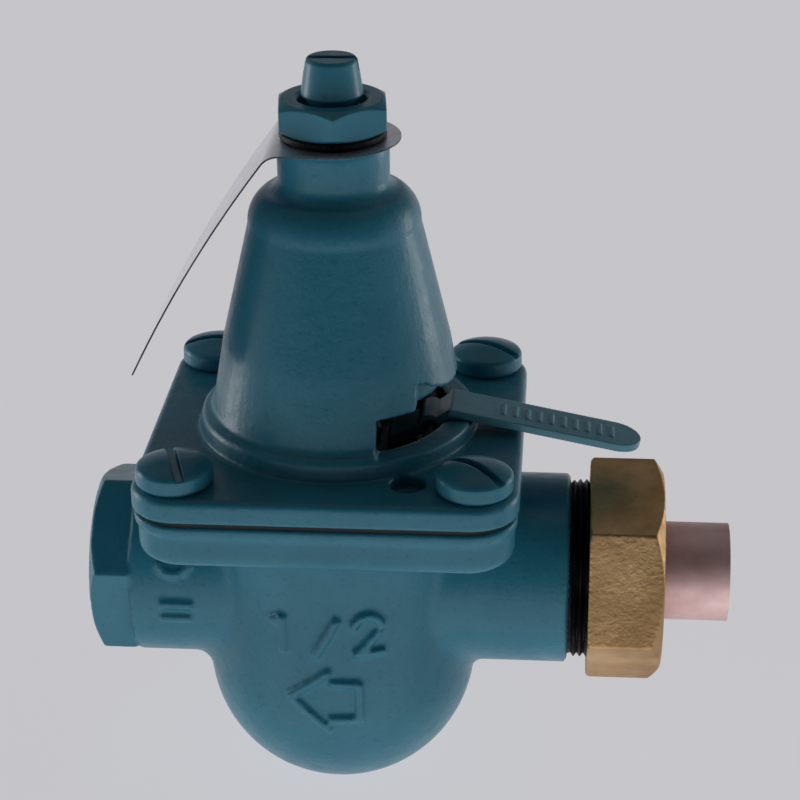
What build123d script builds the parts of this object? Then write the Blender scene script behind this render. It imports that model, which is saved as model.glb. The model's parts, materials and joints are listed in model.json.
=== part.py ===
from build123d import *
import math
import os

# Feed-water pressure reducing and relief valve with a fast-fill lever.
# Millimetres. Every piece is drawn about the spring axis, with Z = 0 on the port axis,
# and is moved along X when it is written, so that the row's origin is the outlet's mouth.

# ---- driving dimensions ----
OUTLET_REACH = 45.6          # spring axis to the outlet's mouth
COVER_TOP = 29.5             # top of the bonnet flange above the port axis
BONNET_FLANGE = 4.4
DIAPHRAGM = 0.9
BODY_FLANGE = 8.4
FLANGE_WIDE = 68.4
BODY_FLANGE_WIDE = 66.8
BODY_LAND_WIDE = 67.8         # machined land under the diaphragm
BODY_LAND = 1.9
DIAPHRAGM_WIDE = 66.8
FLANGE_CORNER = 8.6
SCREW_HALF_PITCH = 26.3
SCREW_R = 3.0
SCREW_HOLE_R = 3.3

BOWL_R = 25.5
BOWL_DROP = 18.0             # centre of the round bottom below the port axis
NECK_R = 17.8
OUTLET_HEX = 32.0            # across flats
OUTLET_HEX_LONG = 9.4
HEX_TURN = 16.5              # degrees that the cast hexagon is turned about the port axis
OUTLET_BORE_R = 10.0
OUTLET_BORE_LONG = 14.0
UNION_THREAD_R = 16.8
COLLAR_END = 42.9
INLET_END = 52.0
INLET_BORE_R = 8.5
BOWL_INNER_R = 21.5
CENTRE_BORE_R = 9.0

NUT_HEX = 18.7
NUT_TURN = 96.2
NECK_TOP = COVER_TOP + 55.0
TAG_THICK = 0.3
TAG_BEND_R = 3.75
TAG_BEND = 53.0              # degrees that the tag is bent down where it leaves the neck
TAG_CORNER = 5.0
TAG_WIDE = 24.0
WASHER_TOP = COVER_TOP + 56.7
NUT_TOP = COVER_TOP + 62.4
SCREW_TOP = COVER_TOP + 69.4
ADJUST_R = 6.0
BONNET_NECK_R = 9.95
NECK_EDGE = 1.8              # rounding of the neck's upper edge

UNION_HEX = 36.9
UNION_TURN = 44.3            # degrees that the nut stands turned when it is tight
UNION_START = 46.8
UNION_END = 60.6
TAIL_R = 9.2
TAIL_END = 72.9
CUP_R = 8.0
CUP_LONG = 12.7

LEVER_WIDE = 9.4
LEVER_ARM = 35.1              # from the fold to the end of the round tip
LEVER_THICK = 1.5
LEVER_DROOP = 11.3           # degrees below level at rest
PIVOT_X = 17.2
PIVOT_Z = COVER_TOP + 1.2
PIN_R = 1.2
PIN_LONG = 28.0
WINDOW_X = 8.6
WINDOW_LOW = COVER_TOP + 3.2
WINDOW_HIGH = COVER_TOP + 9.8
RELIEF_FLOOR_R = 19.5         # depth of the shallow recess above the window

GAP = 0.05                   # radial room in a running or threaded fit

BODY_TOP = COVER_TOP - BONNET_FLANGE - DIAPHRAGM
DIAPHRAGM_TOP = BODY_TOP + DIAPHRAGM
CHAMBER_FLOOR = 11.0
PLATE_TOP = DIAPHRAGM_TOP + 1.5
BUTTON_LOW = 62.0
BUTTON_TOP = 65.0
SUMP_TOP = -16.0


# ---- helpers ----
def upright(radius, low, high, x=0.0, y=0.0):
    """A cylinder along Z from low to high."""
    return Pos(x, y, (low + high) / 2) * Cylinder(radius, high - low)


def along(radius, start, end, z=0.0):
    """A cylinder along X from start to end."""
    return Pos((start + end) / 2, 0, z) * Rot(0, 90, 0) * Cylinder(radius, end - start)


def tube_up(outer, inner, low, high):
    return upright(outer, low, high) - upright(inner, low - 1, high + 1)


def tube_along(outer, inner, start, end):
    return along(outer, start, end) - along(inner, start - 1, end + 1)


def hex_prism(across_flats, length, turn=0.0):
    """A hexagonal prism along Z, centred, with a corner at angle turn."""
    corner = across_flats / 2 / math.cos(math.radians(30))
    return extrude(Rot(0, 0, turn) * RegularPolygon(corner, 6), length / 2, both=True)


def chamfer_cone(corner_r, edge_r, length, slope=30.0):
    """A cylinder with coned ends, which trims the corners of a hexagon."""
    rise = (corner_r - edge_r) * math.tan(math.radians(slope))
    half = length / 2
    outline = Polyline(
        (0, -half), (edge_r, -half), (corner_r, rise - half),
        (corner_r, half - rise), (edge_r, half), (0, half),
        close=True,
    )
    return revolve(Plane.XZ * make_face(outline), Axis.Z)


def hex_nut(across_flats, length, turn=0.0):
    corner = across_flats / 2 / math.cos(math.radians(30)) + 0.02
    return hex_prism(across_flats, length, turn) & chamfer_cone(corner, across_flats / 2 - 0.4, length)


def square_plate(width, low, high, corner=FLANGE_CORNER):
    plate = extrude(RectangleRounded(width, width, corner), high - low)
    return Pos(0, 0, low) * plate


def screw_places():
    return [(sx * SCREW_HALF_PITCH, sy * SCREW_HALF_PITCH) for sx in (-1, 1) for sy in (-1, 1)]


def coil(mean_r, wire, low, high, turns):
    """A round-wire compression spring along Z between two flats."""
    start = low + wire / 2 + 0.02
    rise = high - low - wire - 0.04
    path = Helix(pitch=rise / turns, height=rise, radius=mean_r)
    section = Plane(origin=path @ 0, z_dir=path % 0) * Circle(wire / 2)
    return Pos(0, 0, start) * sweep(section, path=path)


def turned(points):
    """The solid that an outline of (radius, z) points sweeps about Z."""
    return revolve(Plane.XZ * make_face(Polyline(*points, close=True)), Axis.Z)


def laid_along_x(shape):
    """Turns a shape drawn along +Z so that it runs along +X."""
    return Rot(0, 90, 0) * shape


# ---- cast body ----
def bowl():
    """The round-bottomed middle of the casting, up into the flange."""
    top = BODY_TOP - 4.1
    side = BOWL_R * math.sin(math.radians(45))
    return revolve(
        Plane.XZ * make_face([
            Line((0, -BOWL_DROP - BOWL_R), (0, top)),
            Line((0, top), (BOWL_R, top)),
            Line((BOWL_R, top), (BOWL_R, -BOWL_DROP)),
            ThreePointArc((BOWL_R, -BOWL_DROP), (side, -BOWL_DROP - side), (0, -BOWL_DROP - BOWL_R)),
        ]),
        Axis.Z,
    )


def body_outside():
    flange = square_plate(BODY_FLANGE_WIDE, BODY_TOP - BODY_FLANGE, BODY_TOP)
    flange = fillet(flange.faces().sort_by(Axis.Z)[0].edges(), 2.2)
    flange += square_plate(BODY_LAND_WIDE, BODY_TOP - BODY_LAND, BODY_TOP)
    necks = along(NECK_R, 7.9 - OUTLET_REACH, COLLAR_END)
    core = fillet((bowl() + necks).edges().filter_by(GeomType.BSPLINE), 4.0)
    hexagon = hex_nut(OUTLET_HEX, OUTLET_HEX_LONG, HEX_TURN)
    hexagon = Pos(-OUTLET_REACH + OUTLET_HEX_LONG / 2, 0, 0) * Rot(0, -90, 0) * Rot(0, 0, 90) * hexagon
    thread = along(UNION_THREAD_R, COLLAR_END - 1, INLET_END)
    return flange + core + hexagon + thread


def body_passages():
    chamber = upright(19.5, CHAMBER_FLOOR, BODY_TOP + 1)
    seat_bore = upright(8.0 + GAP, 3.0, CHAMBER_FLOOR + 1)
    centre_bore = upright(CENTRE_BORE_R, SUMP_TOP - 0.5, 4.0)
    sump = Pos(0, 0, -BOWL_DROP) * Sphere(BOWL_INNER_R)
    sump = sump & upright(BOWL_R, -BOWL_DROP - BOWL_R, SUMP_TOP)
    outlet = along(OUTLET_BORE_R, -OUTLET_REACH - 1, -OUTLET_REACH + OUTLET_BORE_LONG)
    outlet_lead = along(8.0, -OUTLET_REACH, -12.0)
    outlet_riser = upright(4.2, 0, CHAMBER_FLOOR + 1, x=-14.8)
    inlet = along(INLET_BORE_R, 12.0, INLET_END + 1)
    inlet_drop = upright(4.5, SUMP_TOP - 1, 0, x=15.5)
    return chamber + seat_bore + centre_bore + sump + outlet + outlet_lead + outlet_riser + inlet + inlet_drop


def valve_body():
    body = body_outside() - body_passages()
    for x, y in screw_places():
        body -= upright(SCREW_R + GAP, BODY_TOP - 7.2, BODY_TOP + 1, x, y)
    return body


# ---- bonnet ----
def bonnet_outline():
    """Half section of the spring cage: bead, groove, tapered wall, shoulder and neck."""
    lines = [
        Line((0, 0), (25.5, 0)),
        Line((25.5, 0), (25.2, 2.4)),
        ThreePointArc((25.2, 2.4), (24.7, 3.7), (23.6, 4.1)),
        Line((23.6, 4.1), (23.0, 4.6)),
        Line((23.0, 4.6), (20.7, 17.5)),
        Line((20.7, 17.5), (15.5, 39.5)),
        ThreePointArc((15.5, 39.5), (14.7, 43.1), (12.3, 45.6)),
        ThreePointArc((12.3, 45.6), (10.6, 46.4), (BONNET_NECK_R, 47.6)),
        Line((BONNET_NECK_R, 47.6), (BONNET_NECK_R, 55.0 - NECK_EDGE)),
        ThreePointArc(
            (BONNET_NECK_R, 55.0 - NECK_EDGE),
            (BONNET_NECK_R - 0.293 * NECK_EDGE, 55.0 - 0.293 * NECK_EDGE),
            (BONNET_NECK_R - NECK_EDGE, 55.0),
        ),
        Line((BONNET_NECK_R - NECK_EDGE, 55.0), (0, 55.0)),
        Line((0, 55.0), (0, 0)),
    ]
    return Pos(0, 0, COVER_TOP) * revolve(Plane.XZ * make_face(lines), Axis.Z)


def spring_chamber():
    low = DIAPHRAGM_TOP - 1
    return turned([
        (0, low), (20.5, low), (20.5, COVER_TOP + 3.4), (19.2, COVER_TOP + 6.5), (13.4, COVER_TOP + 36.5),
        (12.4, COVER_TOP + 41.0), (10.0, COVER_TOP + 42.5), (0, COVER_TOP + 42.5),
    ])


def lever_window():
    reach = 20.0
    slot = Pos(WINDOW_X + reach / 2, 0, (WINDOW_LOW + WINDOW_HIGH) / 2)
    slot = slot * Box(reach, 60, WINDOW_HIGH - WINDOW_LOW)
    hood = Polyline((15.5, 9.5), (15.5, 14.6), (19.3, 11.6), (24.0, 9.7), (24.0, 9.5), close=True)
    relief = Pos(0, 0, COVER_TOP) * extrude(Plane.XZ * make_face(hood), 30, both=True)
    relief -= upright(RELIEF_FLOOR_R, COVER_TOP, COVER_TOP + 20)
    sill_dip = Pos(WINDOW_X + reach / 2, 0, WINDOW_LOW - 0.5) * Box(reach, LEVER_WIDE + 1.4, 1.6)
    return slot + relief + sill_dip


def bonnet():
    flange = square_plate(FLANGE_WIDE, DIAPHRAGM_TOP, COVER_TOP)
    flange = fillet(flange.faces().sort_by(Axis.Z)[-1].edges(), 1.3)
    shell = flange + bonnet_outline() - spring_chamber() - lever_window()
    shell -= upright(ADJUST_R + GAP, COVER_TOP + 40, NECK_TOP + 1)
    shell -= upright(3.2, COVER_TOP - 2.6, COVER_TOP + 1, x=14.6, y=-24.9)
    shell -= Pos(PIVOT_X, 0, PIVOT_Z) * Rot(90, 0, 0) * Cylinder(PIN_R + GAP, PIN_LONG + 0.4)
    for x, y in screw_places():
        shell -= upright(SCREW_HOLE_R, DIAPHRAGM_TOP - 1, COVER_TOP + 1, x, y)
    return shell


def diaphragm():
    sheet = square_plate(DIAPHRAGM_WIDE, BODY_TOP, DIAPHRAGM_TOP)
    sheet -= upright(SCREW_R + GAP, BODY_TOP - 1, DIAPHRAGM_TOP + 1)
    for x, y in screw_places():
        sheet -= upright(SCREW_HOLE_R, BODY_TOP - 1, DIAPHRAGM_TOP + 1, x, y)
    return sheet


def pan_screw(slot_turn):
    """One slotted pan-head screw, drawn at the origin with its head's underside at Z = 0."""
    head = revolve(
        Plane.XZ * make_face([
            Line((0, 0), (6.3, 0)),
            Line((6.3, 0), (6.9, 0.7)),
            Line((6.9, 0.7), (6.8, 3.0)),
            Line((6.8, 3.0), (6.4, 3.5)),
            ThreePointArc((6.4, 3.5), (3.4, 4.6), (0, 5.0)),
            Line((0, 5.0), (0, 0)),
        ]),
        Axis.Z,
    )
    head -= Rot(0, 0, slot_turn) * Pos(0, 0, 4.6) * Box(20, 1.6, 3.0)
    shank = upright(SCREW_R, -BONNET_FLANGE - DIAPHRAGM - 6.8, 0.2)
    return head + shank


def cover_screws():
    slot_turns = (-73.0, 3.0, -43.0, -25.0)
    screws = [Pos(x, y, COVER_TOP) * pan_screw(turn) for (x, y), turn in zip(screw_places(), slot_turns)]
    return Part() + screws


# ---- adjustment on top ----
def adjusting_screw():
    thread_top = COVER_TOP + 60.4
    head_low = COVER_TOP + 62.6
    shank = turned([
        (0, BUTTON_TOP - 1.0), (2.6, BUTTON_TOP - 0.4), (3.6, BUTTON_TOP + 1.2), (ADJUST_R, BUTTON_TOP + 3.6),
        (ADJUST_R, thread_top - 0.5), (ADJUST_R - 0.6, thread_top), (4.5, thread_top),
        (4.5, head_low), (5.2, head_low), (5.5, head_low + 0.4), (4.6, SCREW_TOP - 0.5),
        (4.2, SCREW_TOP), (0, SCREW_TOP),
    ])
    return shank - Pos(0, 0, SCREW_TOP) * Rot(0, 0, 2) * Box(20, 1.5, 4.4)


def lock_nut():
    length = NUT_TOP - WASHER_TOP
    nut = hex_nut(NUT_HEX, length, NUT_TURN)
    nut -= Cylinder(ADJUST_R + GAP, length + 2)
    nut -= Pos(0, 0, length / 2) * Cone(ADJUST_R, ADJUST_R + 1.2, 1.2)
    return Pos(0, 0, (NUT_TOP + WASHER_TOP) / 2) * nut


def lock_washer():
    washer = tube_up(9.5, ADJUST_R + 0.3, NECK_TOP + TAG_THICK, WASHER_TOP)
    return fillet(washer.edges().filter_by(GeomType.CIRCLE).sort_by(SortBy.RADIUS)[-2:], 0.5)


def wider_arc(arc, growth):
    """An arc about the same centre, with its radius larger by growth."""
    centre = arc.arc_center
    scale = (arc.radius + growth) / arc.radius
    return ThreePointArc(*[centre + (arc @ t - centre) * scale for t in (0, 0.5, 1)])


def name_tag():
    """A blank sheet tag: a round end under the washer, a bend, then a long tongue hanging out and down."""
    half = TAG_WIDE / 2
    bend = CenterArc((-8.2, NECK_TOP - TAG_BEND_R), TAG_BEND_R, 90, TAG_BEND)
    tongue = TangentArc(bend @ 1, (-36.4, COVER_TOP + 11.9), tangent=bend % 1)
    outer_bend = wider_arc(bend, TAG_THICK)
    outer_tongue = wider_arc(tongue, TAG_THICK)
    low_end = (half + 2, NECK_TOP)
    high_end = (half + 2, NECK_TOP + TAG_THICK)
    section = make_face([
        Line(low_end, bend @ 0), bend, tongue, Line(tongue @ 1, outer_tongue @ 1),
        outer_tongue, outer_bend, Line(outer_bend @ 0, high_end), Line(high_end, low_end),
    ])
    sheet = extrude(Plane.XZ * section, half, both=True)
    round_end = upright(half, NECK_TOP - 1, NECK_TOP + 2) + Pos(-50, 0, NECK_TOP - 40) * Box(100, 60, 120)
    sheet = sheet & round_end
    corners = sheet.edges().filter_by(lambda edge: edge.length < 2 * TAG_THICK).sort_by(Axis.X)[:2]
    sheet = fillet(corners, TAG_CORNER)
    return sheet - upright(ADJUST_R + 0.3, NECK_TOP - 1, NECK_TOP + 2)


# ---- lever ----
def lever_points():
    """Centre line of the bent strip in the XZ plane: nose, pivot, fold, tip."""
    droop = math.radians(LEVER_DROOP)
    fold = (21.2, COVER_TOP + 4.2)
    arm = LEVER_ARM - LEVER_WIDE / 2
    tip = (fold[0] + arm * math.cos(droop), fold[1] - arm * math.sin(droop))
    nose = (10.3, PLATE_TOP + 1.15)
    return nose, (PIVOT_X, PIVOT_Z), fold, tip


def strip(a, b, width, thick):
    """A flat bar between two points of the XZ plane."""
    length = math.dist(a, b)
    turn = math.degrees(math.atan2(b[1] - a[1], b[0] - a[0]))
    bar = Box(length, width, thick)
    return Pos((a[0] + b[0]) / 2, 0, (a[1] + b[1]) / 2) * Rot(0, -turn, 0) * bar


def cross_rod(radius, point, width):
    """A round rod along Y through a point of the XZ plane."""
    return Pos(point[0], 0, point[1]) * Rot(90, 0, 0) * Cylinder(radius, width)


def fill_lever():
    nose, pivot, fold, tip = lever_points()
    web_wide = LEVER_WIDE - 1.4
    lever = strip(nose, pivot, web_wide, LEVER_THICK + 0.3) + cross_rod(1.0, nose, web_wide)
    lever += cross_rod(2.3, pivot, web_wide)
    lever += strip(pivot, fold, web_wide, LEVER_THICK) + cross_rod(LEVER_THICK / 2, fold, LEVER_WIDE)
    lever += strip(fold, tip, LEVER_WIDE, LEVER_THICK)
    end = Rot(0, LEVER_DROOP, 0) * Cylinder(LEVER_WIDE / 2, LEVER_THICK)
    lever += Pos(tip[0], 0, tip[1]) * end
    return lever - cross_rod(PIN_R + GAP, pivot, 40)


def lever_pin():
    return cross_rod(PIN_R, (PIVOT_X, PIVOT_Z), PIN_LONG)


# ---- spring, diaphragm plates and stem ----
def spring_button():
    disc = turned([
        (0, BUTTON_LOW - 2.0), (5.2, BUTTON_LOW - 2.0), (5.6, BUTTON_LOW), (8.6, BUTTON_LOW),
        (8.6, BUTTON_TOP - 0.6), (8.0, BUTTON_TOP), (0, BUTTON_TOP),
    ])
    dimple = turned([
        (0, BUTTON_TOP - 1.05), (2.65, BUTTON_TOP - 0.45), (3.65, BUTTON_TOP + 1.2), (0, BUTTON_TOP + 1.2),
    ])
    return disc - dimple


def pressure_plate():
    plate = tube_up(16.5, SCREW_R + GAP, DIAPHRAGM_TOP, PLATE_TOP)
    return fillet(plate.edges().filter_by(GeomType.CIRCLE).sort_by(SortBy.RADIUS)[-2:], 0.5)


def diaphragm_washer():
    return tube_up(14.0, SCREW_R + GAP, BODY_TOP - 1.5, BODY_TOP)


def diaphragm_nut():
    nut = hex_nut(9.0, 4.0) - Cylinder(SCREW_R + GAP, 10)
    return Pos(0, 0, PLATE_TOP + 2.0) * nut


def stem():
    return turned([
        (0, -18.0), (2.1, -18.0), (2.5, -17.6), (2.5, 11.0), (4.2, 13.0), (4.2, BODY_TOP - 1.5),
        (SCREW_R, BODY_TOP - 1.5), (SCREW_R, PLATE_TOP + 4.6), (SCREW_R - 0.5, PLATE_TOP + 5.1),
        (0, PLATE_TOP + 5.1),
    ])


def seat_ring():
    """The orifice: a bushing in the body's bridge, with a raised lip facing down and an O-ring groove."""
    return turned([
        (4.9, 3.2), (5.6, 3.2), (6.2, 4.0), (8.0, 4.0), (8.0, 6.2), (7.1, 6.2), (7.1, 7.5), (8.0, 7.5),
        (8.0, 10.5), (6.4, 10.5), (4.9, 9.0),
    ])


def seat_o_ring():
    return Pos(0, 0, 6.85) * Torus(7.58, 0.42)


def valve_disc():
    return tube_up(6.8, 2.5 + GAP, 0.6, 3.1)


def disc_holder():
    cup = tube_up(7.8, 2.5 + GAP, -3.0, 2.4)
    return cup - upright(6.8 + GAP, 0.6, 3.5)


def holder_nut():
    return Pos(0, 0, -4.5) * (hex_nut(6.4, 3.0) - Cylinder(2.5 + GAP, 10))


def spring_retainer():
    plate = tube_up(CENTRE_BORE_R - GAP, 2.5 + GAP, SUMP_TOP, SUMP_TOP + 2)
    for port in PolarLocations(6.6, 6):
        plate -= port * Pos(0, 0, SUMP_TOP + 1) * Cylinder(1.1, 4)
    return plate


def strainer_screen():
    """A perforated cup in the sump, open at the top."""
    cup = upright(10.6, -36.4, SUMP_TOP) - upright(10.1, -35.9, SUMP_TOP + 1)
    for level in range(4):
        cutters = [
            place * Rot(0, 90, 0) * Cylinder(1.0, 4)
            for place in PolarLocations(10.4, 12, start_angle=15.0 * (level % 2))
        ]
        cup -= Pos(0, 0, -33.5 + 4.6 * level) * (Part() + cutters)
    return cup


# ---- check valve in the inlet ----
def check_seat():
    return tube_along(INLET_BORE_R - GAP, 5.0, 44.0, 47.0)


def check_poppet():
    return along(6.8, 41.6, 43.9) + along(1.5, 29.0, 42.0)


def check_guide():
    guide = tube_along(INLET_BORE_R - GAP, 1.5 + GAP, 30.0, 32.0)
    for port in PolarLocations(5.2, 4):
        guide -= laid_along_x(port * Pos(0, 0, 31.0) * Cylinder(1.8, 4))
    return guide


def check_spring():
    return laid_along_x(coil(4.0, 0.8, 32.0, 41.6, 4))


# ---- union at the inlet ----
def union_nut():
    """A hexagon nut over the inlet thread, chamfered more at its outer end than at the body."""
    length = UNION_END - UNION_START
    corner = UNION_HEX / 2 / math.cos(math.radians(30)) + 0.02
    half = length / 2
    blank = turned([
        (0, -half), (corner - 0.9, -half), (corner, 0.5 - half),
        (corner, half - 1.9), (corner - 3.2, half), (0, half),
    ])
    nut = Pos(UNION_START + half, 0, 0) * laid_along_x(hex_prism(UNION_HEX, length, UNION_TURN) & blank)
    nut -= along(UNION_THREAD_R + GAP, UNION_START - 1, 57.0)
    return nut - along(TAIL_R + 0.1, 50.0, UNION_END + 1)


def union_tailpiece():
    piece = along(13.8, 53.0, 56.95) + along(TAIL_R, 56.0, TAIL_END)
    piece -= along(7.3, 52.0, TAIL_END)
    return piece - along(CUP_R, TAIL_END - CUP_LONG, TAIL_END + 1)


def union_gasket():
    return tube_along(13.6, INLET_BORE_R, INLET_END, 53.0)


# ---- springs ----
def range_spring():
    return coil(7.0, 2.0, PLATE_TOP, BUTTON_LOW, 8)


def return_spring():
    return coil(5.4, 1.0, SUMP_TOP + 2, -3.0, 4)


PIECES = (
    valve_body, bonnet, diaphragm, cover_screws, adjusting_screw, lock_nut, lock_washer, name_tag,
    fill_lever, lever_pin, spring_button, pressure_plate, diaphragm_washer, diaphragm_nut, stem,
    seat_ring, seat_o_ring, valve_disc, disc_holder, holder_nut, spring_retainer, strainer_screen,
    check_seat, check_poppet, check_guide, check_spring, union_nut, union_tailpiece, union_gasket,
    range_spring, return_spring,
)


def main():
    os.makedirs("parts", exist_ok=True)
    for piece in PIECES:
        shape = Pos(OUTLET_REACH, 0, 0) * piece()
        export_step(shape, f"parts/{piece.__name__}.step")


main()
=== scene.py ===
"""Looks of the feed valve: cast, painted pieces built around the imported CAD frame."""
import json
import math

import bmesh
import bpy
import numpy as np
from mathutils import Matrix, Vector
from mathutils.bvhtree import BVHTree


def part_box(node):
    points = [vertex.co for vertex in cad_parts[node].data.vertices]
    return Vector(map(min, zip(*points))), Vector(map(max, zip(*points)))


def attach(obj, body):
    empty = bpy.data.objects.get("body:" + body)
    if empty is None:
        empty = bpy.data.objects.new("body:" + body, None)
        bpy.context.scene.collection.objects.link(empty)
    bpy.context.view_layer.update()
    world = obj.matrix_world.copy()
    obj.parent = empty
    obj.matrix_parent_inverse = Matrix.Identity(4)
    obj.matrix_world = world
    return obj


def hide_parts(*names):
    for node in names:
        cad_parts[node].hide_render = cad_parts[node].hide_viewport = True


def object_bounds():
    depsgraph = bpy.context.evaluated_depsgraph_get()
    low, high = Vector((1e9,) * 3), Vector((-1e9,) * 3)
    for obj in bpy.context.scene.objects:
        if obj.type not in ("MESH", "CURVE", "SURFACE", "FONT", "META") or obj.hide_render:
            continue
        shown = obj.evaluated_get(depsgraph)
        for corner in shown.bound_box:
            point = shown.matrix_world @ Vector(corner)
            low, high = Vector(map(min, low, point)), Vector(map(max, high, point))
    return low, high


MM = 0.001

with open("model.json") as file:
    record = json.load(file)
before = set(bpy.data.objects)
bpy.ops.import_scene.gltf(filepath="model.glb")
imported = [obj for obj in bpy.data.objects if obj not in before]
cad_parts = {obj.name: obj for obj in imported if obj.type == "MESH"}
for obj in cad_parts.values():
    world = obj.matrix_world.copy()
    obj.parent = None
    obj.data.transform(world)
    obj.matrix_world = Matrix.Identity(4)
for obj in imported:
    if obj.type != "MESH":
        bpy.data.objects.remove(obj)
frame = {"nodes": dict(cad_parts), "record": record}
cad_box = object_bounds()
record = frame["record"]

# ---- places from the frame, and the sizes of the threads ----
bonnet_low, bonnet_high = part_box("bonnet")
SPRING_X = (bonnet_low.x + bonnet_high.x) / 2          # the spring axis
COVER_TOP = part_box("pressure_plate")[1].z + 2.9 * MM    # top of the bonnet's flange
NECK_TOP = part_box("name_tag")[1].z                      # upper face of the tag
FLOOR_Z = cad_box[0].z
COLLAR_X = SPRING_X + 42.9 * MM                         # where the union's thread starts
UNION_ROOT_R = 16.0 * MM
UNION_CREST_R = 16.82 * MM
UNION_THREAD_LONG = 7.0 * MM
UNION_PITCH = 1.2 * MM
PORT_THREAD_R = 10.0 * MM                               # outlet's thread, over its crests
PORT_ROOT_R = 11.0 * MM
PORT_THREAD_LONG = 14.0 * MM
PORT_PITCH = 1.81 * MM
PORT_MOUTH_R = 10.9 * MM                                # outlet's opening in its end face
RIM = 0.35 * MM                                         # depth of the outlet's rounded rim
BODY_VOXEL = 0.42 * MM
SMALL_VOXEL = 0.16 * MM
EDGE_ANGLE = 35                                         # degrees, above which a CAD edge stays sharp


# ---- mesh helpers ----
def coords(mesh):
    points = np.empty(len(mesh.vertices) * 3, np.float32)
    mesh.vertices.foreach_get("co", points)
    return points.reshape(-1, 3).astype(np.float64)


def set_coords(mesh, points):
    mesh.vertices.foreach_set("co", points.astype(np.float32).ravel())
    mesh.update()


def link(obj):
    bpy.context.scene.collection.objects.link(obj)
    return obj


def new_object(name, verts, faces):
    mesh = bpy.data.meshes.new(name)
    mesh.from_pydata([tuple(v) for v in verts], [], faces)
    mesh.update()
    return link(bpy.data.objects.new(name, mesh))


def applied(obj):
    """Applies the modifiers of obj to its mesh."""
    graph = bpy.context.evaluated_depsgraph_get()
    mesh = bpy.data.meshes.new_from_object(obj.evaluated_get(graph))
    obj.modifiers.clear()
    obj.data = mesh
    return obj


def joined(name, objects):
    """One object from several, through one bmesh."""
    made = bmesh.new()
    for obj in objects:
        made.from_mesh(obj.data)
    mesh = bpy.data.meshes.new(name)
    made.to_mesh(mesh)
    made.free()
    for obj in objects:
        bpy.data.objects.remove(obj)
    return link(bpy.data.objects.new(name, mesh))


def edge_pairs(mesh):
    pairs = np.empty(len(mesh.edges) * 2, np.int64)
    mesh.edges.foreach_get("vertices", pairs)
    return pairs.reshape(-1, 2)


def relax(obj, rounds):
    """Laplacian smoothing: each round moves every vertex half way to its neighbours' middle."""
    points = coords(obj.data)
    a, b = edge_pairs(obj.data).T
    count = np.bincount(a, minlength=len(points)) + np.bincount(b, minlength=len(points))
    count = np.maximum(count, 1)[:, None]
    for _ in range(rounds):
        total = np.stack([
            np.bincount(a, points[b, k], len(points)) + np.bincount(b, points[a, k], len(points))
            for k in range(3)
        ], axis=1)
        points += (total / count - points) * 0.5
    set_coords(obj.data, points)


def remeshed(name, node, voxel, rounds, extra=()):
    """A cast or forged copy of a CAD node: an even mesh with softened corners."""
    source = frame["nodes"][node]
    base = link(bpy.data.objects.new(name + "_base", source.data.copy()))
    obj = joined(name, [base, *extra])
    remesh = obj.modifiers.new("even", "REMESH")
    remesh.mode = "VOXEL"
    remesh.voxel_size = voxel
    applied(obj)
    relax(obj, rounds)
    smooth(obj)
    return obj


def smooth(obj, angle=None):
    """Smooth shading, with edges sharper than angle kept if one is given."""
    for polygon in obj.data.polygons:
        polygon.use_smooth = True
    if angle is not None:
        split = obj.modifiers.new("edges", "EDGE_SPLIT")
        split.split_angle = math.radians(angle)


def stand_for(obj, node, body, finish):
    """obj rides on a body, stands for a CAD node, which it hides, and takes a material."""
    obj.data.materials.clear()
    obj.data.materials.append(finish)
    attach(obj, body)
    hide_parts(node)
    return obj


# ---- materials ----
def material(name):
    made = bpy.data.materials.new(name)
    made.use_nodes = True
    tree = made.node_tree
    shader = tree.nodes["Principled BSDF"]
    return made, tree, shader


def place(tree, scale=(1, 1, 1)):
    """Object coordinates, which are in metres and the same from every side."""
    where = tree.nodes.new("ShaderNodeTexCoord")
    mapping = tree.nodes.new("ShaderNodeMapping")
    mapping.inputs["Scale"].default_value = scale
    tree.links.new(where.outputs["Object"], mapping.inputs["Vector"])
    return mapping.outputs["Vector"]


def noise_at(tree, vector, scale, detail=4.0, rough=0.55):
    made = tree.nodes.new("ShaderNodeTexNoise")
    made.inputs["Scale"].default_value = scale
    made.inputs["Detail"].default_value = detail
    made.inputs["Roughness"].default_value = rough
    tree.links.new(vector, made.inputs["Vector"])
    return made.outputs["Fac"]


def ramp(tree, value, stops):
    made = tree.nodes.new("ShaderNodeValToRGB")
    elements = made.color_ramp.elements
    while len(elements) < len(stops):
        elements.new(0.5)
    for element, (position, colour) in zip(elements, stops):
        element.position = position
        element.color = (*colour, 1.0) if len(colour) == 3 else colour
    tree.links.new(value, made.inputs["Fac"])
    return made.outputs["Color"]


def mixed(tree, factor, first, second, blend="MIX"):
    """A colour mix; factor and colours may be sockets or plain values."""
    made = tree.nodes.new("ShaderNodeMix")
    made.data_type = "RGBA"
    made.blend_type = blend
    slots = {"Factor": made.inputs[0], "A": made.inputs[6], "B": made.inputs[7]}
    for key, value in (("Factor", factor), ("A", first), ("B", second)):
        if isinstance(value, bpy.types.NodeSocket):
            tree.links.new(value, slots[key])
        elif key == "Factor":
            slots[key].default_value = value
        else:
            slots[key].default_value = (*value, 1.0)
    return made.outputs[2]


def bumped(tree, shader, layers, distance):
    """Adds up bump layers of (height socket, strength) and feeds the shader's normal."""
    normal = None
    for height, strength in layers:
        bump = tree.nodes.new("ShaderNodeBump")
        bump.inputs["Strength"].default_value = strength
        bump.inputs["Distance"].default_value = distance
        tree.links.new(height, bump.inputs["Height"])
        if normal is not None:
            tree.links.new(normal, bump.inputs["Normal"])
        normal = bump.outputs["Normal"]
    tree.links.new(normal, shader.inputs["Normal"])


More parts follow.
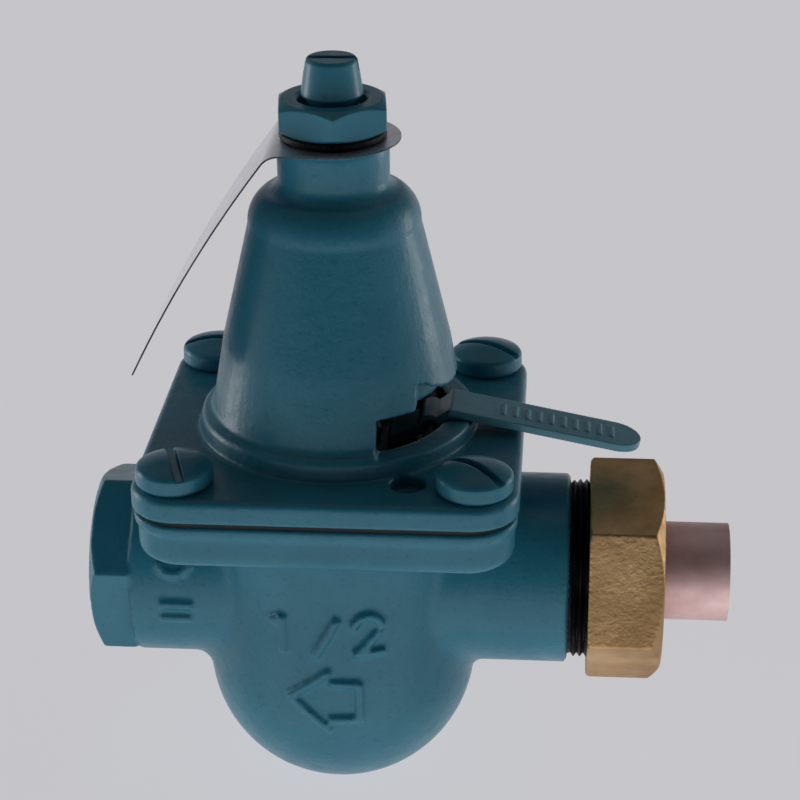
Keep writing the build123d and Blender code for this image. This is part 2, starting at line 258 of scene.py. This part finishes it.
def map_range(tree, value, low, high, to_low, to_high):
    made = tree.nodes.new("ShaderNodeMapRange")
    for key, number in (("From Min", low), ("From Max", high), ("To Min", to_low), ("To Max", to_high)):
        made.inputs[key].default_value = number
    tree.links.new(value, made.inputs["Value"])
    return made.outputs["Result"]


def enamel(name, grain, deep=(0.019, 0.178, 0.255), pale=(0.030, 0.215, 0.305)):
    """Semi-gloss teal enamel over iron. grain is how rough the casting below it is."""
    made, tree, shader = material(name)
    where = place(tree)
    patches = noise_at(tree, where, 45, 4)
    tone = ramp(tree, patches, [(0.3, deep), (0.7, pale)])
    specks = noise_at(tree, where, 900, 2)
    thin = ramp(tree, specks, [(0.30, (0.72, 0.74, 0.76)), (0.42, (1, 1, 1))])
    tone = mixed(tree, 0.6 * min(grain, 1.0), tone, thin, "MULTIPLY")
    tree.links.new(tone, shader.inputs["Base Color"])
    rough = map_range(tree, noise_at(tree, where, 300, 3), 0.3, 0.7, 0.30, 0.44)
    tree.links.new(rough, shader.inputs["Roughness"])
    shader.inputs["Specular IOR Level"].default_value = 0.32
    shader.inputs["Coat Weight"].default_value = 0.14
    shader.inputs["Coat Roughness"].default_value = 0.15
    coarse = noise_at(tree, where, 260, 3)
    fine = noise_at(tree, where, 1400, 4)
    bumped(tree, shader, [(coarse, 0.22 * grain), (fine, 0.14 * grain)], 0.0006)
    return made


def metal(name, dark, light, rough_low, rough_high, scale, grain, distance=0.0003):
    """A metal in patches between two colours and two roughnesses, scale of them to the metre.

    grain is the strength of its fine bumps, which are distance metres high.
    """
    made, tree, shader = material(name)
    where = place(tree)
    tone = ramp(tree, noise_at(tree, where, scale, 6, 0.6), [(0.32, dark), (0.68, light)])
    tree.links.new(tone, shader.inputs["Base Color"])
    shader.inputs["Metallic"].default_value = 1.0
    rough = map_range(tree, noise_at(tree, where, scale * 3, 4), 0.3, 0.7, rough_low, rough_high)
    tree.links.new(rough, shader.inputs["Roughness"])
    bumped(tree, shader, [(noise_at(tree, where, scale * 12, 4), grain)], distance)
    return made


def matt(name, dark, light, roughness, scale):
    """Rubber or moulded plastic."""
    made, tree, shader = material(name)
    where = place(tree)
    tone = ramp(tree, noise_at(tree, where, scale), [(0.3, dark), (0.7, light)])
    tree.links.new(tone, shader.inputs["Base Color"])
    shader.inputs["Roughness"].default_value = roughness
    bumped(tree, shader, [(noise_at(tree, where, scale * 8), 0.3)], 0.0002)
    return made


PAINT_CAST = enamel("teal_enamel_cast", 1.0)
PAINT_SMOOTH = enamel("teal_enamel_smooth", 0.35)
# The lever's enamel is the same teal paint made lighter: painted light for the light its upward face
# catches.
PAINT_LEVER_LIT = enamel("teal_enamel_lever_painted_light", 0.5, (0.080, 0.270, 0.350), (0.115, 0.330, 0.420))
BRASS = metal("cast_brass", (0.40, 0.235, 0.105), (0.69, 0.46, 0.23), 0.40, 0.60, 70, 0.28, 0.0006)
BRASS_BRIGHT = metal("machined_brass", (0.60, 0.45, 0.20), (0.72, 0.56, 0.28), 0.2, 0.35, 200, 0.2)
COPPER = metal("copper_tube", (0.76, 0.52, 0.51), (0.92, 0.70, 0.68), 0.55, 0.70, 90, 0.15)
STEEL = metal("dark_steel", (0.10, 0.10, 0.105), (0.20, 0.20, 0.205), 0.3, 0.5, 200, 0.2)
TAG = metal("tag_sheet", (0.78, 0.76, 0.80), (0.90, 0.88, 0.92), 0.34, 0.42, 120, 0.03)
# Near black for the tag's cut edges: painted shade for the dark line along the edge.
TAG_EDGE_SHADE = metal("tag_edge_painted_shade", (0.03, 0.035, 0.04), (0.08, 0.085, 0.09), 0.4, 0.6, 200, 0.2)
BLACK_METAL = metal("blackened_steel", (0.010, 0.011, 0.013), (0.030, 0.031, 0.034), 0.4, 0.6, 300, 0.3)
# Unpainted iron in the bores, threads and hollows, coloured near black: bare metal, darkened as painted
# shade.
SHADED_BARE_IRON = metal("bare_iron_painted_shade", (0.020, 0.021, 0.022), (0.065, 0.062, 0.060), 0.5, 0.7, 250, 0.5)
RUBBER = matt("black_rubber", (0.005, 0.006, 0.007), (0.012, 0.013, 0.015), 0.7, 300)
PLASTIC = matt("poppet_plastic", (0.62, 0.61, 0.57), (0.72, 0.71, 0.67), 0.45, 200)

SLOT_MATERIALS = {
    "painted_casting": PAINT_CAST,
    "diaphragm_rubber": RUBBER,
    "black_steel": BLACK_METAL,
    "tag_sheet": TAG,
    "steel": STEEL,
    "brass_internal": BRASS_BRIGHT,
    "plastic_poppet": PLASTIC,
    "cast_brass": BRASS,
    "copper_tail": COPPER,
}
for part in record["subparts"]:
    shown = frame["nodes"][part["node"]]
    shown.data.materials.clear()
    shown.data.materials.append(SLOT_MATERIALS[part["material_slot"]])
    smooth(shown, EDGE_ANGLE)


# ---- raised marks on the castings ----
def surface_of(obj):
    graph = bpy.context.evaluated_depsgraph_get()
    return BVHTree.FromObject(obj, graph)


MARK_STEP = 0.6                                         # millimetres between a bar's sections
MARK_SINK = 0.6 * MM                                    # how far a bar goes into the casting


def raised_mark(name, bars, surface, start, across, toward, height):
    """Flat bars laid on a surface, drawn in the plane of X and across, and dropped along toward.

    Each bar is (x, second coordinate, length, width, turn), in millimetres and degrees.
    """
    verts, faces = [], []
    for x, z, length, width, turn in bars:
        steps = max(2, int(length / MARK_STEP))
        first = len(verts)
        cosine, sine = math.cos(math.radians(turn)), math.sin(math.radians(turn))
        for i in range(steps + 1):
            along = (i / steps - 0.5) * length
            for side in (-0.5, 0.5):
                right = x + along * cosine - side * width * sine
                up = z + along * sine + side * width * cosine
                origin = start + Vector((right, 0, 0)) * MM + across * up * MM
                hit, normal, _, _ = surface.ray_cast(origin, toward)
                for lift in (-MARK_SINK, height):
                    verts.append(hit + normal * lift)
        for i in range(steps):
            a = first + 4 * i
            b = a + 4
            faces += [(a + 1, b + 1, b + 3, a + 3), (a, a + 2, b + 2, b)]
            faces += [(a, b, b + 1, a + 1), (a + 2, a + 3, b + 3, b + 2)]
        last = first + 4 * steps
        faces += [(first, first + 1, first + 3, first + 2), (last, last + 2, last + 3, last + 1)]
    return new_object(name, verts, faces)


def arc_bars(x, z, radius, start, stop, width, count=8):
    """Short bars along an arc."""
    bars = []
    for i in range(count):
        mid = math.radians(start + (stop - start) * (i + 0.5) / count)
        length = abs(math.radians(stop - start)) * radius / count * 1.25
        across, up = x + radius * math.cos(mid), z + radius * math.sin(mid)
        bars.append((across, up, length, width, math.degrees(mid) + 90))
    return bars


UP = Vector((0, 0, 1))
BACK = Vector((0, 1, 0))
IN_FRONT = Vector((SPRING_X, -1.0, 0))
OVERHEAD = Vector((SPRING_X, 0, 1.0))
body_surface = surface_of(frame["nodes"]["valve_body"])
lever_surface = surface_of(frame["nodes"]["fill_lever"])
# Marks as bars of (x from the spring axis, height or depth, length, width, turn).
size_mark = [
    (-8.3, -1.9, 7.4, 1.4, 90.0), (-9.4, 0.9, 2.6, 1.3, 35.0),
    (-0.4, -1.9, 8.8, 1.3, 62.0),
    *arc_bars(7.0, 0.0, 2.4, 180, 0, 1.3),
    (7.2, -3.0, 5.8, 1.3, 48.0), (7.2, -5.2, 5.6, 1.3, 0.0),
]
arrow_mark = [
    (-3.6, -11.9, 9.4, 1.2, 38.0), (-3.5, -18.3, 10.2, 1.2, -43.0),
    (2.6, -11.6, 5.2, 1.2, -3.0), (2.8, -19.2, 6.0, 1.2, 0.0),
    (5.4, -15.4, 7.6, 1.2, 90.0),
]
neck_mark = [
    (-29.0, -0.5, 6.0, 1.2, 0.0), (-29.2, -3.4, 5.4, 1.2, 0.0),
    *arc_bars(-29.4, 8.4, 3.0, 200, 340, 1.2),
]
grip_mark = [(30.5 + 2.2 * i, 0.0, 4.2, 0.7, 90.0) for i in range(10)]
body_marks = [
    raised_mark("size_mark", size_mark, body_surface, IN_FRONT, UP, BACK, 1.0 * MM),
    raised_mark("arrow_mark", arrow_mark, body_surface, IN_FRONT, UP, BACK, 0.9 * MM),
    raised_mark("neck_mark", neck_mark, body_surface, IN_FRONT, UP, BACK, 0.8 * MM),
]
lever_marks = [
    raised_mark("grip_mark", grip_mark, lever_surface, OVERHEAD, BACK, -UP, 0.25 * MM),
]


# ---- castings ----
def ring_distance(points, centre, axes):
    """How far points are from a line through centre, measured along two axes."""
    return np.hypot(*[points[:, k] - centre[k] for k in axes])


def pushed_to(obj, chosen, radius):
    """Moves the chosen vertices straight to or from the port axis until they are at radius."""
    points = coords(obj.data)
    now = ring_distance(points, (0, 0, 0), (1, 2))
    scale = np.where(chosen, radius / np.maximum(now, 1e-6), 1.0)
    points[:, 1:] *= scale[:, None]
    set_coords(obj.data, points)


def second_material(obj, chosen, made):
    """Gives the chosen faces a material of their own."""
    obj.data.materials.append(made)
    obj.data.polygons.foreach_set("material_index", chosen.astype(np.int32))
    obj.data.update()


def face_centres(mesh):
    centres = np.empty(len(mesh.polygons) * 3, np.float32)
    mesh.polygons.foreach_get("center", centres)
    return centres.reshape(-1, 3).astype(np.float64)


def thread_room(obj):
    """Moves the casting's skin behind the two threads that are added to it."""
    points = coords(obj.data)
    along = points[:, 0]
    radius = ring_distance(points, (0, 0, 0), (1, 2))
    under_union = (along > COLLAR_X + 0.2 * MM) & (radius > UNION_ROOT_R - 1.0 * MM)
    pushed_to(obj, under_union, UNION_ROOT_R - 0.1 * MM)
    near_bore = (radius < PORT_THREAD_R + 0.4 * MM) & (radius > PORT_THREAD_R - 1.2 * MM)
    behind_port = near_bore & (along > RIM) & (along < PORT_THREAD_LONG)
    pushed_to(obj, behind_port, PORT_ROOT_R + 0.1 * MM)
    end_face_r = PORT_THREAD_R + 3.0 * MM
    end_face = (along < RIM) & (radius < end_face_r)
    opened = np.interp(radius, (PORT_THREAD_R + 0.25 * MM, end_face_r), (PORT_MOUTH_R, end_face_r))
    pushed_to(obj, end_face, opened)


# Inside the body: the chamber under the diaphragm and the sump below it, both about the spring axis.
CHAMBER_R, CHAMBER_FLOOR = 19.9 * MM, 10.5 * MM
SUMP_R, SUMP_FLOOR = 15 * MM, -25 * MM
BORE_START = 12 * MM                                    # from the spring axis to the two bores


def body_casting():
    obj = remeshed("body_casting", "valve_body", BODY_VOXEL, 2, body_marks)
    thread_room(obj)
    stand_for(obj, "valve_body", "casing", PAINT_CAST)
    centres = face_centres(obj.data)
    along, height = centres[:, 0], centres[:, 2]
    off_port = ring_distance(centres, (0, 0, 0), (1, 2))
    off_spring = ring_distance(centres, (SPRING_X, 0, 0), (0, 1))
    in_necks = (np.abs(along - SPRING_X) > BORE_START) & (along > 0.3 * MM)
    bore = (off_port < PORT_ROOT_R + 0.6 * MM) & in_necks
    thread = (along > COLLAR_X + 0.4 * MM) & (off_port < UNION_ROOT_R + 0.3 * MM)
    chamber = (off_spring < CHAMBER_R) & (height > CHAMBER_FLOOR)
    sump = (off_spring < SUMP_R) & (height > SUMP_FLOOR)
    # The bores, the thread under the union, the chamber and the sump take the near-black bare iron: bare
    # metal darkened as painted shade.
    second_material(obj, bore | thread | chamber | sump, SHADED_BARE_IRON)


# The spring cage's inner wall, as (height above the flange, radius) in millimetres, and its top.
CAGE_WALL = ((3.4, 20.5), (6.5, 19.2), (36.5, 13.4), (41.0, 12.4), (42.5, 10.0))
CAGE_CEILING = 44.0


def bonnet_casting():
    obj = remeshed("bonnet_casting", "bonnet", BODY_VOXEL * 0.9, 2)
    stand_for(obj, "bonnet", "casing", PAINT_CAST)
    centres = face_centres(obj.data)
    height = (centres[:, 2] - COVER_TOP) / MM
    wall = np.interp(height, *np.array(CAGE_WALL).T) * MM
    inside = ring_distance(centres, (SPRING_X, 0, 0), (0, 1)) < wall + 0.25 * MM
    # The cage's inner wall takes the near-black bare iron: bare metal darkened as painted shade for the
    # dark inside seen through the window.
    second_material(obj, inside & (height < CAGE_CEILING), SHADED_BARE_IRON)


# Each small piece: name, CAD node, body, slot, material, voxel in SMALL_VOXEL, smoothing rounds, marks.
SMALL_CASTINGS = (
    ("painted_screws", "cover_screws", "casing", "painted_casting", PAINT_SMOOTH, 1.0, 2, ()),
    ("painted_adjusting_screw", "adjusting_screw", "screw", "painted_casting", PAINT_SMOOTH, 1.0, 2, ()),
    ("painted_lock_nut", "lock_nut", "nut", "painted_casting", PAINT_SMOOTH, 1.0, 2, ()),
    ("brass_union_nut", "union_nut", "union", "cast_brass", BRASS, 1.8, 2, ()),
    ("painted_lever", "fill_lever", "lever", "painted_casting", PAINT_LEVER_LIT, 1.0, 1, lever_marks),
)


def small_castings():
    for name, node, body, slot, finish, coarseness, rounds, marks in SMALL_CASTINGS:
        made = remeshed(name, node, SMALL_VOXEL * coarseness, rounds, marks)
        stand_for(made, node, body, finish)


def sheet_tag():
    """The tag's own mesh, with its cut edges painted near black as shade."""
    obj = link(bpy.data.objects.new("sheet_tag", frame["nodes"]["name_tag"].data.copy()))
    smooth(obj, EDGE_ANGLE)
    applied(obj)
    stand_for(obj, "name_tag", "casing", TAG)
    mesh = obj.data
    normals = np.array([polygon.normal for polygon in mesh.polygons])
    # The tag's side faces and top rim take the near-black edge material: painted shade.
    shaded_sides = np.abs(normals[:, 1]) > 0.3
    rim = (np.abs(normals[:, 2]) < 0.3) & (face_centres(mesh)[:, 2] > NECK_TOP - 0.5 * MM)
    second_material(obj, shaded_sides | rim, TAG_EDGE_SHADE)


body_casting()
bonnet_casting()
small_castings()
sheet_tag()


# ---- threads that show ----
def thread_sleeve(name, start, end, root, crest, behind, pitch, around=160):
    """A helical V thread along X, as one closed tube between its threaded face and radius behind."""
    per_pitch = 8
    rings = int((end - start) / pitch * per_pitch)
    verts, faces = [], []
    for i in range(rings + 1):
        x = start + (end - start) * i / rings
        fade = min(1.0, i / per_pitch, (rings - i) / per_pitch)
        for k in range(around):
            turn = 2 * math.pi * k / around
            phase = ((x - start) / pitch - k / around) % 1.0
            height = 1 - abs(2 * phase - 1)
            radius = root + (crest - root) * height * fade
            verts.append((x, radius * math.cos(turn), radius * math.sin(turn)))
    for x in (end, start):
        for k in range(around):
            turn = 2 * math.pi * k / around
            verts.append((x, behind * math.cos(turn), behind * math.sin(turn)))
    for i in range(rings + 2):
        for k in range(around):
            a, b = i * around + k, i * around + (k + 1) % around
            c, d = a + around, b + around
            faces.append((a, b, d, c))
    closing = (rings + 2) * around
    for k in range(around):
        n = (k + 1) % around
        faces.append((closing + k, closing + n, n, k))
    obj = new_object(name, verts, faces)
    made = bmesh.new()
    made.from_mesh(obj.data)
    bmesh.ops.recalc_face_normals(made, faces=made.faces)
    made.to_mesh(obj.data)
    made.free()
    smooth(obj, 70)
    return obj


def threads():
    outside = thread_sleeve(
        "union_thread", COLLAR_X + 0.1 * MM, COLLAR_X + UNION_THREAD_LONG,
        UNION_ROOT_R, UNION_CREST_R, UNION_ROOT_R - 1.2 * MM, UNION_PITCH,
    )
    inside = thread_sleeve(
        "outlet_thread", 0.4 * MM, PORT_THREAD_LONG,
        PORT_ROOT_R, PORT_THREAD_R + 0.05 * MM, PORT_ROOT_R + 0.6 * MM, PORT_PITCH,
    )
    # The outlet's thread takes the near-black bare iron: cut iron darkened as painted shade.
    for sleeve, finish in ((outside, BLACK_METAL), (inside, SHADED_BARE_IRON)):
        sleeve.data.materials.append(finish)
        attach(sleeve, "casing")


threads()


# ---- floor, lights, camera ----
FLOOR_HALF = 6.0
FLOOR_GLOW = 0.56


def floor():
    signs = ((-1, -1), (1, -1), (1, 1), (-1, 1))
    corners = [(x * FLOOR_HALF, y * FLOOR_HALF, FLOOR_Z) for x, y in signs]
    plane = new_object("floor", corners, [(0, 1, 2, 3)])
    made, _, shader = material("pale_floor")
    shader.inputs["Base Color"].default_value = (0.30, 0.295, 0.30, 1)
    shader.inputs["Roughness"].default_value = 0.9
    shader.inputs["Specular IOR Level"].default_value = 0.1
    shader.inputs["Emission Color"].default_value = (0.97, 0.96, 1.0, 1)
    shader.inputs["Emission Strength"].default_value = FLOOR_GLOW
    plane.data.materials.append(made)
    return plane


def area_light(name, place_at, aim, width, height, power):
    data = bpy.data.lights.new(name, "AREA")
    data.shape = "RECTANGLE"
    data.size = width
    data.size_y = height
    data.energy = power
    lamp = link(bpy.data.objects.new(name, data))
    lamp.location = place_at
    lamp.rotation_euler = (aim - place_at).to_track_quat("-Z", "Y").to_euler()
    return lamp


def lights(plane):
    """Softboxes at both sides, a dim one overhead, and a light table shining up through the floor."""
    centre = Vector((SPRING_X, 0, 0.03))
    on_axis = Vector((SPRING_X, 0, 0))
    under = Vector((SPRING_X, -0.25, FLOOR_Z - 0.12))
    # Each lamp: name, place, aim, width and height in metres, power in watts.
    lamps = [
        area_light("left_softbox", centre + Vector((-0.75, 0.20, 0.02)), centre, 0.3, 0.5, 1.6),
        area_light("right_softbox", centre + Vector((0.80, 0.40, 0.02)), centre, 0.3, 0.5, 1.3),
        area_light("overhead", centre + Vector((0.0, 0.25, 0.90)), centre, 1.2, 0.8, 0.7),
        area_light("light_table", under, on_axis, 0.8, 0.3, 0.34),
    ]
    # The glowing floor takes no light from the lamps, and doesn't stop the one below it.
    past_floor = bpy.data.collections.new("past_floor")
    past_floor.objects.link(plane)
    past_floor.collection_objects[0].light_linking.link_state = "EXCLUDE"
    for lamp in lamps:
        lamp.light_linking.receiver_collection = past_floor
        lamp.light_linking.blocker_collection = past_floor


# The room's colour by height (0 is level, 1 straight up), and how much of it there is by depth
# (0 behind the camera, 1 behind the object).
ROOM_BY_HEIGHT = [
    (0.0, (0.60, 0.60, 0.62)), (0.15, (0.32, 0.33, 0.35)), (0.42, (0.19, 0.195, 0.21)),
    (0.62, (0.05, 0.052, 0.057)), (1.0, (0.025, 0.026, 0.028)),
]
ROOM_BY_DEPTH = [(0.0, (0.12, 0.12, 0.12)), (0.35, (0.4, 0.4, 0.4)), (0.6, (1, 1, 1))]


def surroundings():
    """A room that is bright round its walls behind the object and dim overhead and in front."""
    world = bpy.data.worlds.new("studio")
    bpy.context.scene.world = world
    world.use_nodes = True
    tree = world.node_tree
    background = tree.nodes["Background"]
    where = tree.nodes.new("ShaderNodeTexCoord")
    split = tree.nodes.new("ShaderNodeSeparateXYZ")
    tree.links.new(where.outputs["Generated"], split.inputs["Vector"])
    height = ramp(tree, split.outputs["Z"], ROOM_BY_HEIGHT)
    depth = ramp(tree, map_range(tree, split.outputs["Y"], -1, 1, 0, 1), ROOM_BY_DEPTH)
    tree.links.new(mixed(tree, 1.0, height, depth, "MULTIPLY"), background.inputs["Color"])
    background.inputs["Strength"].default_value = 1.0


# The camera's angles in degrees, its lens in millimetres and its place.
AZIMUTH, ELEVATION, ROLL = 4.5, 25.0, -0.47
LENS, SENSOR = 101.0, 36.0
CAMERA_AT = Vector((SPRING_X + 40.76 * MM, -373.2 * MM, COVER_TOP + 179.1 * MM))


def turn_about(axis, degrees):
    return Matrix.Rotation(math.radians(degrees), 3, axis)


def add_camera():
    data = bpy.data.cameras.new("camera")
    data.sensor_width = SENSOR
    data.lens = LENS
    data.clip_start = 0.01
    camera = link(bpy.data.objects.new("camera", data))
    facing = turn_about("Z", AZIMUTH) @ turn_about("X", 90 - ELEVATION) @ turn_about("Z", ROLL)
    camera.matrix_world = Matrix.Translation(CAMERA_AT) @ facing.to_4x4()
    bpy.context.scene.camera = camera


lights(floor())
surroundings()
add_camera()
bpy.context.scene.view_settings.view_transform = "Standard"
